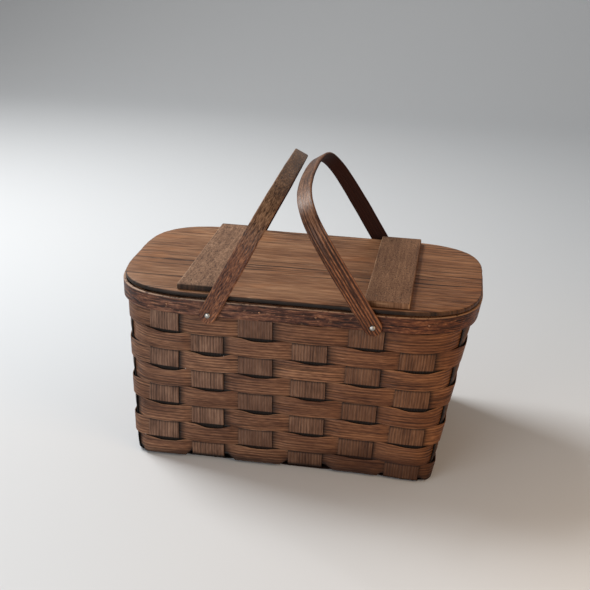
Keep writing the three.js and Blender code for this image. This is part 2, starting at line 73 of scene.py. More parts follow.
# Rims
rim_thickness = 4
rim_height = 21
rim_slack = 0.5
inner_rim_height = 19
inner_rim_rise = 1.7

# Lid and battens
lid_thickness = 5.5
lid_shift = Vector((1.2, -0.8, 0))
lid_turn = math.radians(-0.55)
batten_width = 55
batten_thickness = 7
batten_setback = 8
batten_centre = 116

# Handles
hoop_thickness = 4.5
hoop_foot_width = 22.5
hoop_top_width = 20
hoop_shoulder_height = 82
hoop_spread = 3
hoop_shoulder_pull = 80
hoop_crown_pull = 143
hoop_play = 0.6
left_handle_height = 175.8
right_handle_height = 183.4
left_pivot_rise = 4
right_pivot_rise = 6.5
left_crown_offset = 23.2
right_crown_offset = 1
pivot_offset_share = 0.439

# Bolts and nails
bolt_radius = 2.2
bolt_head_radius = 3.6
bolt_head_height = 2.4
bolt_tail = 1.5
washer_radius = 6
washer_thickness = 1
nut_across_flats = 8
nut_thickness = 3.2
nail_head_radius = 1.4
nail_head_height = 0.7
nail_radius = 0.8
nail_tip = 0.6
rim_nail_drop_share = 0.45
rim_nail_station_share = 0.11
batten_nail_inset = 13
batten_nail_end_inset = 20
batten_nail_bite = 4
nail_uprights = [0, 2, 3, 5, 6, 10, 12, 13, 15, 16]

# How the woven strips bend between each other
strip_wave = 1.35
thin_splint = 1.1
thin_weaver = 1.2
outside_bulge = 0.55
seam_upright = 12
seam_gap = 0.01
weaver_steps = 13
rim_steps = 15
base_steps = 72
station_length = 57
left_end_uprights = [16, 17, 18, 19]
unshaded_row_count = 5
inside_depth = 0.1
upright_wave = 0.8
loop_tilt = 0.5
loop_droop = 2.9
bottom_loop_droop = 2.6
low_droop_share = 0.35
row_overlap = 0.35
hidden_overlap = 2.6
round_splints = [1, 3]
round_bend_radius = 9.5
bend_lift = 2.5
bend_steps = 8
late_turn = 1.4
cross_width_shares = [0.97, 1.02, 1.06, 1.06, 1.06, 1.06]
cross_dark_shares = [0.15, 0.1, 0.75, 0.2, 0.65, 0.3]
corner_flare = 9
right_slot = 5
left_slot = 9

# Rounded edges, and the laps of the rims
strip_rounding = 0.45
rim_rounding = 1.1
rim_lap = 0.7
rim_tip = 0.4
lid_rounding = 1.1
lid_inland = 9
batten_rounding = 0.9
hoop_rounding = 1.3
shoulder = 0.8
soft_share = 0.3
tip_chamfer = 0.5
washer_chamfer = 0.2
nut_chamfer = 0.4

# Uneven edges: how far each strays and how long one run of it is
weaver_low_waver = (0.35, 120)
weaver_high_waver = (0.3, 95)
rim_low_waver = (0.25, 190)
rim_high_waver = (0.2, 160)
batten_waver = (0.25, 170)
handle_waver = (0.25, 140)

# The lid's edge strays so many times round it
lid_waver = 0.3
lid_waver_count = 23
lid_chips = 0.12
lid_chip_count = 71
lid_sides = 360

# Where painted shade lies, as it starts and as it is full, from an edge; the lid's edge is dirty as
# well
pocket_top_shade = (1.8, 0.8)
pocket_low_shade = (-3.5, -1.5)
foot_shade = (2.6, 0.6)
inner_rim_shade = (-4, -2)
lid_edge_shade_and_dirt = (0.9, 0.1)
slot_blur = 3.5

# Levels worked out from the sizes above
lid_bottom = lid_top - lid_thickness
inner_rim_top = lid_bottom - fit_gap
outer_rim_top = inner_rim_top - inner_rim_rise
outer_rim_low = outer_rim_top - rim_height
wall_top = outer_rim_top - fit_gap
wave_height = (splint_thickness + weaver_thickness) / 2 + fit_gap
half_stack = wave_height + weaver_thickness / 2
weave_lift = (splint_thickness + fit_gap) / 2
base_level = weave_lift + splint_thickness / 2
wall_foot = base_level + bend_radius
bend_inside = bend_radius - splint_thickness / 2
bend_reach = bend_radius - wave_height + weaver_thickness / 2
bottom_row_low = wall_foot - math.sqrt(bend_inside ** 2 - bend_reach ** 2) + bottom_row_clearance
first_row_low = wall_top - first_row_drop
row_pitch = (first_row_low - bottom_row_low - bottom_row_height - row_gap) / (row_count - 2)
rim_face_inset = half_stack + rim_slack + rim_thickness
rim_offset = rim_face_inset - rim_thickness / 2
nail_reach = rim_face_inset + half_stack + rim_slack + rim_thickness
top_half_length = lid_length / 2 + lid_reveal - rim_face_inset
top_half_width = lid_width / 2 + lid_reveal - rim_face_inset
top_corner = lid_corner + lid_reveal - rim_face_inset
base_half_length = base_length / 2
base_half_width = base_width / 2
pivot_offset = lid_length / 2 * pivot_offset_share

# Camera of the photograph, fitted to the basket's own points
image_size = 590
focal_pixels = 1255.68
principal_point = (272, 200)
camera_place = Vector((179.73, -1579.7, 731.01))
camera_yaw = -0.14405
camera_pitch = 0.25885
camera_roll = -0.03763


def add_camera():
    camera = bpy.data.cameras.new("camera")
    camera.lens = focal_pixels / image_size * camera.sensor_width
    camera.shift_x = 0.5 - principal_point[0] / image_size
    camera.shift_y = principal_point[1] / image_size - 0.5
    camera.clip_end = 20
    forward = Vector((
        math.sin(camera_yaw) * math.cos(camera_pitch),
        math.cos(camera_yaw) * math.cos(camera_pitch),
        -math.sin(camera_pitch),
    ))
    level_right = Vector((math.cos(camera_yaw), -math.sin(camera_yaw), 0))
    level_down = forward.cross(level_right)
    right = math.cos(camera_roll) * level_right + math.sin(camera_roll) * level_down
    down = math.cos(camera_roll) * level_down - math.sin(camera_roll) * level_right
    place = Matrix((right, -down, -forward)).transposed().to_4x4()
    place.translation = camera_place * millimetre
    holder = bpy.data.objects.new("camera", camera)
    holder.matrix_world = place
    bpy.context.scene.collection.objects.link(holder)
    bpy.context.scene.camera = holder


add_camera()
bpy.context.scene.view_settings.view_transform = "Standard"


# Sums between sockets, written as plain expressions
class Wire:
    def __init__(self, finish, socket):
        self.finish = finish
        self.socket = socket

    def sum_of(self, operation, *values):
        return self.finish.node("ShaderNodeMath", {"operation": operation}, dict(enumerate(values)))

    def __add__(self, other):
        return self.sum_of("ADD", self, other)

    def __radd__(self, other):
        return self.sum_of("ADD", other, self)

    def __sub__(self, other):
        return self.sum_of("SUBTRACT", self, other)

    def __rsub__(self, other):
        return self.sum_of("SUBTRACT", other, self)

    def __mul__(self, other):
        return self.sum_of("MULTIPLY", self, other)

    def __rmul__(self, other):
        return self.sum_of("MULTIPLY", other, self)


class Finish:
    def __init__(self, name):
        self.material = bpy.data.materials.new(name)
        self.material.use_nodes = True
        self.tree = self.material.node_tree
        self.shader = self.tree.nodes["Principled BSDF"]

    def put(self, socket, value):
        if isinstance(value, Wire):
            self.tree.links.new(value.socket, socket)
        else:
            socket.default_value = value

    def node(self, kind, settings=None, inputs=None, output=0):
        made = self.tree.nodes.new(kind)
        for name, value in (settings or {}).items():
            if name == "stops":
                self.set_stops(made.color_ramp, value)
            else:
                setattr(made, name, value)
        for name, value in (inputs or {}).items():
            self.put(made.inputs[name], value)
        return Wire(self, made.outputs[output])

    def set_stops(self, ramp, stops):
        while len(ramp.elements) < len(stops):
            ramp.elements.new(1)
        for element, (position, *colour) in zip(ramp.elements, stops):
            element.position = position
            element.color = seen(*colour)

    def attribute(self, name, output="Fac"):
        return self.node("ShaderNodeAttribute", {"attribute_name": name}, {}, output)

    def place(self):
        return self.node("ShaderNodeTexCoord", {}, {}, "Object")

    def part(self, vector, axis):
        return self.node("ShaderNodeSeparateXYZ", {}, {"Vector": vector}, axis)

    def stretched(self, vector, scale, shift=(0, 0, 0)):
        settings = {"operation": "MULTIPLY_ADD"}
        return self.node("ShaderNodeVectorMath", settings, {0: vector, 1: scale, 2: shift})

    def noise(self, vector, detail=3, roughness=0.5, distortion=0):
        inputs = {
            "Vector": vector,
            "Scale": 1,
            "Detail": detail,
            "Roughness": roughness,
            "Distortion": distortion,
        }
        return self.node("ShaderNodeTexNoise", {}, inputs)

    def rise(self, value, start, end):
        settings = {"interpolation_type": "SMOOTHSTEP"}
        inputs = {"Value": value, "From Min": start, "From Max": end}
        return self.node("ShaderNodeMapRange", settings, inputs)

    # Runs from 0 to 1 and back once for each whole number
    def wave(self, phase):
        settings = {"operation": "SINE"}
        return self.node("ShaderNodeMath", settings, {0: phase * (2 * math.pi)}) * 0.5 + 0.5

    def ramp(self, factor, *stops):
        return self.node("ShaderNodeValToRGB", {"stops": stops}, {"Fac": factor})

    def mix(self, factor, first, second, blend="MIX"):
        settings = {"data_type": "RGBA", "blend_type": blend}
        return self.node("ShaderNodeMix", settings, {0: factor, 6: first, 7: second}, 2)

    def set(self, **values):
        for name, value in values.items():
            self.put(self.shader.inputs[name.replace("_", " ").title()], value)

    # The material, with its colour, roughness and relief joined to the shader
    def done(self, colour, roughness, relief, depth, **others):
        inputs = {"Height": relief, "Strength": 1, "Distance": depth * millimetre}
        bump = self.node("ShaderNodeBump", {}, inputs)
        self.set(base_color=colour, roughness=roughness, normal=bump, **others)
        return self.material


# A colour as it is seen, from 0 to 255, turned to the light values that a shader takes
def seen(red, green, blue):
    def light(level):
        share = level / 255
        return share / 12.92 if share <= 0.04045 else ((share + 0.055) / 1.055) ** 2.4
    return (light(red), light(green), light(blue), 1)


wood_gloss = 0.22
# Tint of the painted warm light at the right end
warm_light_tint = (0.95, 0.78, 0.58, 1)


# Grain coordinates are millimetres along and across the strip, and a number for each strip
class Wood(Finish):
    def __init__(self, name, seed=0):
        super().__init__(name)
        self.grain = self.attribute("grain", "Vector")
        self.edge = self.attribute("edge")
        # This layer is painted shade in recesses, gaps and under things, with some dirt under the
        # base and on the lid's edge
        self.grime = self.attribute("grime")
        self.seed = seed
        self.shader.inputs["Specular IOR Level"].default_value = wood_gloss

    def along(self, length, width, shift=0, detail=3, roughness=0.5, distortion=0):
        scale = (1 / length, 1 / width, 7.31)
        place = self.stretched(self.grain, scale, (shift + self.seed, shift, self.seed))
        return self.noise(place, detail, roughness, distortion)

    def grain_part(self, axis):
        return self.part(self.grain, axis)

    # One value between 0 and 1 for each strip
    def strip_tone(self):
        number = {"W": self.grain_part("Z")}
        return self.node("ShaderNodeTexWhiteNoise", {"noise_dimensions": "1D"}, number)

    # Lengthwise lines a set distance apart that wander a little, from 0 in a groove to 1 on a rib
    def ribs(self, spacing, wander, length):
        phase = self.grain_part("Y") * (1 / spacing) + self.along(length, 7, 61, detail=2) * wander
        return self.wave(phase)

    # Painted warm light, stronger towards the right end of the basket
    def painted_warm_light(self, colour, strength=1):
        rightness = self.rise(self.part(self.place(), "X"), -0.08, 0.2)
        return self.mix(rightness * strength, colour, warm_light_tint, "MULTIPLY")

    # Painted shade near the foot, mostly on the right
    def shaded_foot(self, colour):
        place = self.place()
        low = self.rise(self.part(place, "Z"), 0.05, 0.01)
        right = self.rise(self.part(place, "X"), -0.12, 0.1)
        return self.mix(low * right * 0.6, colour, seen(44, 23, 14))


def weaver_wood():
    wood = Wood("weaver_wood")
    ribs = wood.ribs(3.7, 1.0, 210) - 0.5
    lines = wood.along(150, 2, 11, detail=1) - 0.5
    fibre = wood.along(10, 1.3, 23, detail=2) - 0.5
    slow = wood.along(70, 15, 37, detail=2) - 0.5
    clear = wood.rise(wood.along(90, 12, 71, detail=1), 0.38, 0.54)
    figure = 0.5 + ribs * clear * 0.24 + lines * 0.3 + fibre * 0.55 + slow * 0.6
    colour = wood.ramp(
        figure, (0.24, 50, 29, 19), (0.38, 82, 53, 38), (0.54, 109, 76, 56), (0.78, 150, 111, 84),
    )
    cracks = wood.rise(wood.along(100, 1.8, 53, detail=1), 0.38, 0.33)
    colour = wood.mix(cracks * 0.7, colour, seen(34, 19, 12))
    colour = wood.mix(wood.strip_tone() * 0.25, colour, seen(92, 56, 35))
    rubbed = wood.rise(wood.edge, 1.4, 0.2) * wood.rise(slow, -0.08, 0.1)
    colour = wood.mix(rubbed * 0.4, colour, seen(146, 112, 86))
    # Painted shade where the weaver passes behind an upright and along the bottom row's foot
    colour = wood.mix(wood.grime * 0.96, colour, seen(9, 5, 4))
    # Near-black painted shade where the weaver is tucked behind the next row
    tucked_shade = wood.rise(wood.attribute("tucked"), -0.7, 0.1)
    colour = wood.painted_warm_light(wood.shaded_foot(wood.mix(tucked_shade * 0.96, colour, seen(7, 4, 3))))
    relief = ribs * clear * 0.6 + lines * 1 + fibre * 0.3 - cracks * 0.5
    return wood.done(colour, 0.58 + 0.4 * lines, relief, 0.5)


def splint_wood():
    wood = Wood("splint_wood", 3)
    ribs = wood.ribs(3.7, 0.9, 260) - 0.5
    lines = wood.along(90, 1.7, 11, detail=2) - 0.5
    fibre = wood.along(9, 0.8, 23, detail=2) - 0.5
    slow = wood.along(34, 15, 37, detail=3, roughness=0.6) - 0.5
    tone = wood.attribute("tone")
    figure = 0.5 + ribs * (0.16 - 0.1 * tone) + lines * 0.28 + fibre * 0.4 + slow * 0.6
    colour = wood.ramp(
        figure, (0.24, 52, 34, 26), (0.4, 84, 60, 47), (0.54, 106, 79, 64), (0.76, 138, 109, 90),
    )
    cracks = wood.rise(lines, -0.1, -0.17)
    colour = wood.mix(cracks * 0.5, colour, seen(40, 26, 20))
    colour = wood.mix(tone * 0.4, colour, seen(66, 41, 30))
    # Painted shade in the pockets behind loops, round the bends and at the right front corner slot,
    # with dirt under the base
    colour = wood.painted_warm_light(wood.shaded_foot(wood.mix(wood.grime * 0.97, colour, seen(8, 5, 4))))
    relief = ribs * 0.8 + lines * 0.6 + fibre * 0.2
    return wood.done(colour, 0.66 + 0.3 * lines, relief, 0.5)


def rim_wood():
    wood = Wood("rim_wood", 5)
    bands = wood.along(50, 5, detail=2) - 0.5
    lines = wood.along(20, 1.6, 11, detail=2) - 0.5
    scars = wood.along(6, 2.4, 23, detail=3, roughness=0.6) - 0.5
    slow = wood.along(110, 30, 37, detail=2) - 0.5
    figure = 0.5 + bands * 0.4 + lines * 0.9 + scars * 0.6 + slow * 0.5
    colour = wood.ramp(
        figure, (0.26, 32, 16, 12), (0.42, 66, 38, 29), (0.56, 92, 57, 42), (0.78, 138, 98, 74),
    )
    cracks = wood.rise(lines, -0.08, -0.15)
    colour = wood.mix(cracks * 0.75, colour, seen(26, 13, 10))
    # Wear and a painted highlight, along the top edge only
    upper = wood.rise(wood.grain_part("Y"), outer_rim_top - 12, outer_rim_top - 8)
    worn = wood.rise(wood.edge, 1.6, 0.4) * wood.rise(scars, -0.2, 0) * upper
    colour = wood.mix(worn * 0.85, colour, seen(164, 137, 118))
    scuffs = wood.rise(scars, 0.14, 0.2)
    colour = wood.painted_warm_light(wood.mix(scuffs * 0.4, colour, seen(160, 126, 102)))
    # Painted shade on the inner rim's top, in the gap under the lid
    colour = wood.mix(wood.grime, colour, seen(5, 3, 2))
    relief = lines * 1.2 + scars * 0.8 - cracks * 0.3
    return wood.done(colour, 0.5 + 0.4 * scars, relief, 0.6)


def lid_wood():
    wood = Wood("lid_wood", 7)
    place = wood.grain_part("Y")
    warp = wood.along(360, 80, detail=1, distortion=0.3) * 3
    phase = place * (1 / 13) + warp + wood.along(120, 22, 5, detail=1) * 0.7
    rings = wood.wave(phase)
    lines = wood.along(190, 6.5, 11, detail=1) - 0.5
    fibre = wood.along(44, 5.2, 23, detail=1) - 0.5
    fine = wood.along(22, 1.1, 29, detail=2) - 0.5
    slow = wood.along(240, 44, 37, detail=2) - 0.5
    middle_band = wood.rise(place, -62, -34) * wood.rise(place, 14, -12)
    back_band = wood.rise(place, 92, 122)
    right_end = wood.rise(wood.grain_part("X"), 120, 165)
    banded = middle_band * 0.7 + back_band * 0.5 + right_end * 0.4 + 0.25
    figure = 0.5 + lines * 0.2 + fibre * 0.45 + fine * 0.7 + slow * 0.5
    colour = wood.ramp(
        figure, (0.26, 84, 52, 32), (0.42, 118, 80, 54), (0.54, 137, 99, 71), (0.76, 168, 127, 95),
    )
    dark_rings = wood.rise(rings, 0.84, 0.97) * wood.rise(lines, -0.16, 0.02) * banded
    colour = wood.mix(dark_rings * 0.9, colour, seen(36, 19, 12))
    cracks = wood.rise(wood.along(260, 4.2, 51, detail=0), 0.3, 0.27)
    colour = wood.mix(cracks * 0.75, colour, seen(44, 25, 17))
    glow = wood.rise(wood.along(70, 30, 83, detail=2), 0.56, 0.68)
    colour = wood.mix(glow * 0.22, colour, seen(172, 114, 70))
    rubbed = wood.rise(wood.along(44, 6, 91, detail=3), 0.6, 0.7) * wood.rise(fine, -0.06, 0.08)
    colour = wood.mix(rubbed * 0.45, colour, seen(178, 146, 118))
    colour = wood.painted_warm_light(colour, 0.6)
    # Painted shade and dirt darken the lid's edge
    darkening = wood.ramp(fibre + 0.5, (0.42, 5, 3, 2), (0.72, 18, 11, 8))
    colour = wood.mix(wood.grime, colour, darkening)
    relief = lines * 0.8 + fibre * 0.3 + fine * 0.3 - dark_rings * 0.4 - cracks * 0.8
    return wood.done(colour, 0.55 + 0.3 * lines, relief, 0.45)


def batten_wood():
    wood = Wood("batten_wood", 9)
    lines = wood.along(60, 3.4, 11, detail=2) - 0.5
    specks = wood.along(5, 1.5, 23, detail=2) - 0.5
    slow = wood.along(80, 22, 37, detail=3) - 0.5
    figure = 0.5 + lines * 0.35 + specks * 0.8 + slow * 0.3
    colour = wood.ramp(
        figure, (0.28, 78, 54, 40), (0.44, 110, 81, 62), (0.56, 130, 99, 77), (0.76, 162, 129, 104),
    )
    pores = wood.rise(specks, -0.12, -0.19)
    colour = wood.mix(pores * 0.6, colour, seen(60, 39, 29))
    worn = wood.rise(wood.edge, 1.5, 0.3) * wood.rise(slow, -0.12, 0.05)
    colour = wood.painted_warm_light(wood.mix(worn * 0.75, colour, seen(176, 146, 118)), 0.6)
    # Painted shade on the end faces
    darkening = wood.ramp(lines + 0.5, (0.4, 22, 14, 11), (0.65, 54, 36, 27))
    colour = wood.mix(wood.grime, colour, darkening)
    relief = lines * 0.5 + specks * 0.6
    return wood.done(colour, 0.74 + 0.2 * specks, relief, 0.4)


def handle_wood(name, seed, spacing, ribbing, line_length, greyness):
    wood = Wood(name, seed)
    ribs = wood.ribs(spacing, 1.2, 190)
    lines = wood.along(line_length, 1.7, 11, detail=2) - 0.5
    fibre = wood.along(6, 1.4, 23, detail=2) - 0.5
    slow = wood.along(46, 12, 37, detail=3) - 0.5
    height = wood.attribute("height")
    clear = wood.rise(height, 0.92, 0.6) * ribbing
    figure = 0.5 + (ribs - 0.5) * clear * 0.2 + lines * 0.66 + fibre * 0.7 + slow * 0.45
    colour = wood.ramp(
        figure, (0.26, 42, 19, 11), (0.4, 76, 43, 29), (0.56, 103, 64, 43), (0.78, 150, 101, 70),
    )
    old = wood.rise(height, 0.45, 0.9) * greyness
    aged = wood.ramp(figure, (0.28, 62, 43, 32), (0.5, 100, 76, 57), (0.76, 148, 120, 96))
    colour = wood.mix(old, colour, aged)
    grooves = wood.rise(ribs, 0.34, 0.06) * clear
    colour = wood.mix(grooves * 0.66, colour, seen(32, 13, 8))
    cracks = wood.rise(lines, -0.08, -0.15)
    colour = wood.mix(cracks * 0.7, colour, seen(34, 16, 10))
    worn = wood.rise(wood.edge, 1.5, 0.2) * wood.rise(slow, -0.1, 0.08)
    colour = wood.mix(worn * 0.4, colour, seen(152, 106, 76))
    # Painted shade on the strap's inner face
    colour = wood.painted_warm_light(wood.mix(wood.grime * 0.975, colour, seen(40, 14, 7)), 0.8)
    relief = (ribs - 0.5) * clear * 1.5 + lines * 1 + fibre * 0.4
    roughness = 0.44 + 0.4 * lines + 0.35 * wood.grime
    return wood.done(colour, roughness, relief, 0.6)


def metal(name, bright, dull, patina, roughness):
    finish = Finish(name)
    place = finish.place()
    blotches = finish.noise(finish.stretched(place, (900, 900, 900)), 3, 0.6)
    scratches = finish.noise(finish.stretched(place, (700, 4000, 700)), 2, 0.5)
    colour = finish.mix(finish.rise(blotches, 0.35, 0.65), dull, bright)
    tarnish = finish.rise(blotches, 0.42, 0.3)
    colour = finish.mix(tarnish * 0.8, colour, patina)
    relief = blotches * 0.5 + scratches * 0.5
    shine = 1 - tarnish * 0.6
    return finish.done(colour, roughness + 0.2 * blotches, relief, 0.05, metallic=shine)


weaver_finish = weaver_wood()
splint_finish = splint_wood()
rim_finish = rim_wood()
lid_finish = lid_wood()
batten_finish = batten_wood()
left_handle_finish = handle_wood("left_handle_wood", 13, 3.4, 0.12, 8, 0.9)
right_handle_finish = handle_wood("right_handle_wood", 17, 3.9, 1, 70, 0.45)
steel_finish = metal("steel", seen(186, 184, 180), seen(132, 130, 126), seen(84, 70, 58), 0.28)
copper_finish = metal("copper", seen(168, 128, 102), seen(126, 92, 72), seen(74, 50, 38), 0.5)
iron_finish = metal("iron", seen(150, 128, 108), seen(120, 98, 82), seen(92, 68, 52), 0.6)


# Outlines seen from above, run anticlockwise from the middle of the left end
def outline(half_length, half_width, left_corner, right_corner, corner_share, drift):
    angles = np.linspace(0, np.pi / 2, 91)
    points = []
    for sign_x, sign_y in ((-1, -1), (1, -1), (1, 1), (-1, 1)):
        corner = left_corner if sign_x < 0 else right_corner
        turn = angles[::sign_x * sign_y]
        x = half_length - corner + corner * np.cos(turn) ** corner_share
        y = half_width - corner + corner * np.sin(turn) ** corner_share
        points.append(np.column_stack([sign_x * x + drift, sign_y * y]))
    return np.concatenate(points)


def lengths_along(points):
    steps = np.linalg.norm(np.diff(points, axis=0), axis=1)
    return np.concatenate([[0], np.cumsum(steps)])


class Loop:
    def __init__(self, points):
        self.points = np.vstack([points, points[:1]])
        self.lengths = lengths_along(self.points)
        self.total = self.lengths[-1]

    def at(self, length):
        wrapped = np.mod(length, self.total)
        parts = [np.interp(wrapped, self.lengths, self.points[:, axis]) for axis in (0, 1)]
        return np.stack(parts, axis=-1)

    # Length along the loop where it crosses one coordinate on one side
    def crossing(self, axis, value, side):
        here, ahead = self.points[:-1], self.points[1:]
        a, b = here[:, axis], ahead[:, axis]
        on_side = (here + ahead)[:, 1 - axis] * side > 0
        i = np.flatnonzero(on_side & (a != b) & ((a - value) * (b - value) <= 0))[0]
        share = (value - a[i]) / (b[i] - a[i])
        return self.lengths[i] + share * (self.lengths[i + 1] - self.lengths[i])


def upright_lengths(loop, half_length, half_width, drift, front, left, right):
    lengths = [loop.crossing(0, share * half_length + drift, -1) for share in front]
    lengths += [loop.crossing(1, share * half_width, 1) for share in right]
    lengths += [loop.crossing(0, share * half_length + drift, 1) for share in reversed(front)]
    for share in reversed(left):
        length = loop.crossing(1, share * half_width, -1)
        lengths.append(length + loop.total if length < lengths[0] else length)
    return np.array(lengths)


top_loop = Loop(outline(
    top_half_length, top_half_width, top_corner, top_corner, lid_corner_share, 0,
))
base_loop = Loop(outline(
    base_half_length, base_half_width, base_left_corner, base_right_corner, 1, base_drift,
))
top_lengths = upright_lengths(
    top_loop, top_half_length, top_half_width, 0, front_top_shares, end_top_shares, end_top_shares,
)
base_lengths = upright_lengths(
    base_loop, base_half_length, base_half_width, base_drift,
    front_base_shares, left_base_shares, right_base_shares,
)
upright_count = len(top_lengths)
edge_share = 1 / 3


# Runs smoothly from 0 at the start to 1 at the end, whichever of them is larger
def smooth_step(value, start, end):
    share = np.clip((value - start) / (end - start), 0, 1)
    return share * share * (3 - 2 * share)


# A station runs from one upright to the next; an upright covers a third of it on each side
def length_at_station(loop, lengths, station):
    turns = np.floor(station / upright_count)
    place = station - turns * upright_count
    index = np.floor(place + edge_share).astype(int)
    offset = place - index
    ring = np.concatenate([lengths, lengths[:2] + loop.total])
    here = ring[index]
    ahead = ring[index + 1]
    half = splint_width / 2
    over_upright = here + offset / edge_share * half
    share = (offset - edge_share) / (1 - 2 * edge_share)
    between = here + half + share * (ahead - here - 2 * half)
    return turns * loop.total + np.where(offset <= edge_share, over_upright, between)


# The front right corner of the base stands out a little
def flared(low):
    flare = smooth_step(low[..., 0], 85, 175) * smooth_step(low[..., 1], 0, -110) * corner_flare
    return low - np.stack([0 * flare, flare], axis=-1)


def wall_point(station, height):
    rise = ((height - wall_foot) / (wall_top - wall_foot))[..., None]
    low = flared(base_loop.at(length_at_station(base_loop, base_lengths, station)))
    high = top_loop.at(length_at_station(top_loop, top_lengths, station))
    return low + rise * (high - low)


# Steps turned square, to their right
def square_to(ahead):
    square = np.stack([ahead[..., 1], -ahead[..., 0]], axis=-1)
    return square / np.linalg.norm(square, axis=-1, keepdims=True)


def wall_normal(station, height):
    reach = 0.05
    return square_to(wall_point(station + reach, height) - wall_point(station - reach, height))


def wall_spot(station, height, offset):
    station, height, offset = np.broadcast_arrays(station, height, offset)
    point = wall_point(station, height) + wall_normal(station, height) * offset[..., None]
    return np.concatenate([point, height[..., None]], axis=-1)


# One place on the wall, as arrays of one
def single(station, height):
    return np.array([float(station)]), np.array([float(height)])


# A smooth irregular value between about -1 and 1; each seed has its own run
def ripple(along, seed, period):
    turn = 2 * np.pi * along / period
    waves = np.sin(turn + seed * 1.7) + 0.6 * np.sin(2.3 * turn + seed * 3.1)
    return (waves + 0.4 * np.sin(4.1 * turn + seed * 5.3)) / 2


# A ripple as far and as long as one of the named wavers
def waver(along, seed, amount_and_run):
    amount, run = amount_and_run
    return amount * ripple(along, seed, run)


# Points round a strip's cut end. Each row is: the edge it belongs to (-1 low, 0 middle, 1 high),
# how many roundings and shoulders it lies in from that edge, its face, and its rounding outwards
def strip_section():
    rows = []
    for edge, face, start in ((-1, 1, 180), (1, 1, 90), (1, -1, 0), (-1, -1, -90)):
        for turn in (0, 45, 90):
            angle = math.radians(start - turn)
            rows.append((edge, -edge + math.cos(angle), 0, face, math.sin(angle)))
        if edge * face < 0:
            for side in (edge, 0, -edge):
                rows.append((side, -side, -side, face, face))
    return np.array(rows, float)


section_table = strip_section()


# Across and outward places of the section points, for strips whose edges change along them
def strip_places(low, high, thickness, rounding):
    edge, roundings, shoulders, face, outward = section_table.T
    low, high, thickness = (np.atleast_1d(value)[:, None] for value in (low, high, thickness))
    radius = np.minimum(rounding, np.minimum(thickness, high - low) * 0.48)
    half = (high - low) / 2
    inset = np.minimum(shoulder, half - radius)
    across = (low + high) / 2 + edge * half + roundings * radius + shoulders * inset
    out = face * (thickness / 2 - radius) + outward * radius
    return across, np.broadcast_to(out, across.shape)


def section_rings(count, size, closed):
    rings = count if closed else count - 1
    return [
        (
            j * size + i,
            (j + 1) % count * size + i,
            (j + 1) % count * size + (i + 1) % size,
            j * size + (i + 1) % size,
        )
        for j in range(rings)
        for i in range(size)
    ]


# Rings closed at each end by the section itself
def loft_faces(count, size):
    ends = [tuple(range(size)), tuple(reversed(range((count - 1) * size, count * size)))]
    return section_rings(count, size, False) + ends


# Rings closed at each end to a single point; the two points come after the rings
def capped_faces(count, size):
    faces = section_rings(count, size, False)
    first = count * size
    top = first - size
    for i in range(size):
        faces.append((first, i, (i + 1) % size))
        faces.append((first + 1, top + (i + 1) % size, top + i))
    return faces


def signed_volume(points, faces):
    total = 0
    for face in faces:
        a = points[face[0]]
        for i in range(1, len(face) - 1):
            total += np.dot(a, np.cross(points[face[i]], points[face[i + 1]]))
    return total


def add_piece(name, points, faces, body, slot, finish, stands_for, **layers):
    points = np.asarray(points, float)
    spots = points.reshape(-1, 3)
    if signed_volume(spots, faces) < 0:
        faces = [tuple(reversed(face)) for face in faces]
    mesh = bpy.data.meshes.new(name)
    mesh.from_pydata((spots * millimetre).tolist(), [], faces)
    mesh.polygons.foreach_set("use_smooth", [True] * len(mesh.polygons))
    for label, values in layers.items():
        kind, key = "FLOAT_VECTOR", "vector"
        if label != "grain":
            kind, key = "FLOAT", "value"
            values = np.broadcast_to(values, points.shape[:-1])
        layer = mesh.attributes.new(label, kind, "POINT")
        layer.data.foreach_set(key, np.asarray(values, np.float32).ravel())
    mesh.materials.append(finish)
    piece = bpy.data.objects.new(name, mesh)
    bpy.context.scene.collection.objects.link(piece)
    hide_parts(stands_for)
    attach(piece, body)


# A strip for one node, with its grain along it and each point's distance from its edges
def add_strip(node, ending, points, along, across, low, high, seed, body, slot, finish, **layers):
    grain = np.stack(np.broadcast_arrays(along, across, float(seed)), axis=-1)
    edge = np.minimum(across - low[:, None], high[:, None] - across)
    layers.update(grain=grain, edge=edge)
    add_piece(node + ending, points, loft_faces(*across.shape), body, slot, finish, node, **layers)


def add_woven(node, points, across, low, high, seed, slot, finish, **layers):
    along = lengths_along(points.mean(axis=1))[:, None]
    add_strip(
        node, "_strip", points, along, across, low, high, seed, "basket", slot, finish, **layers,
    )


# Weavers pass outside one upright and inside the next
def outside(upright, row):
    return np.where((upright + row) % 2 == 0, 1, -1)


def weave(station, row):
    index = np.floor(station + edge_share)
    offset = station - index
    here = outside(index, row)
    share = (offset - edge_share) / (1 - 2 * edge_share)
    late = np.maximum(share, 0) ** late_turn
    return np.where(offset <= edge_share, here, here * np.cos(late * np.pi))


def row_levels(row):
    low = first_row_low - row * row_pitch
    if row == 0:
        return low, wall_top
    if row == row_count - 1:
        return bottom_row_low, bottom_row_low + bottom_row_height
    return low, low + row_pitch - row_gap


# How far each outside loop hangs down, by its upright and row
def hang(upright, row):
    amount = bottom_loop_droop if row == row_count - 1 else loop_droop
    return amount * (1 + 0.4 * ripple(upright, row + 1, 7.3))


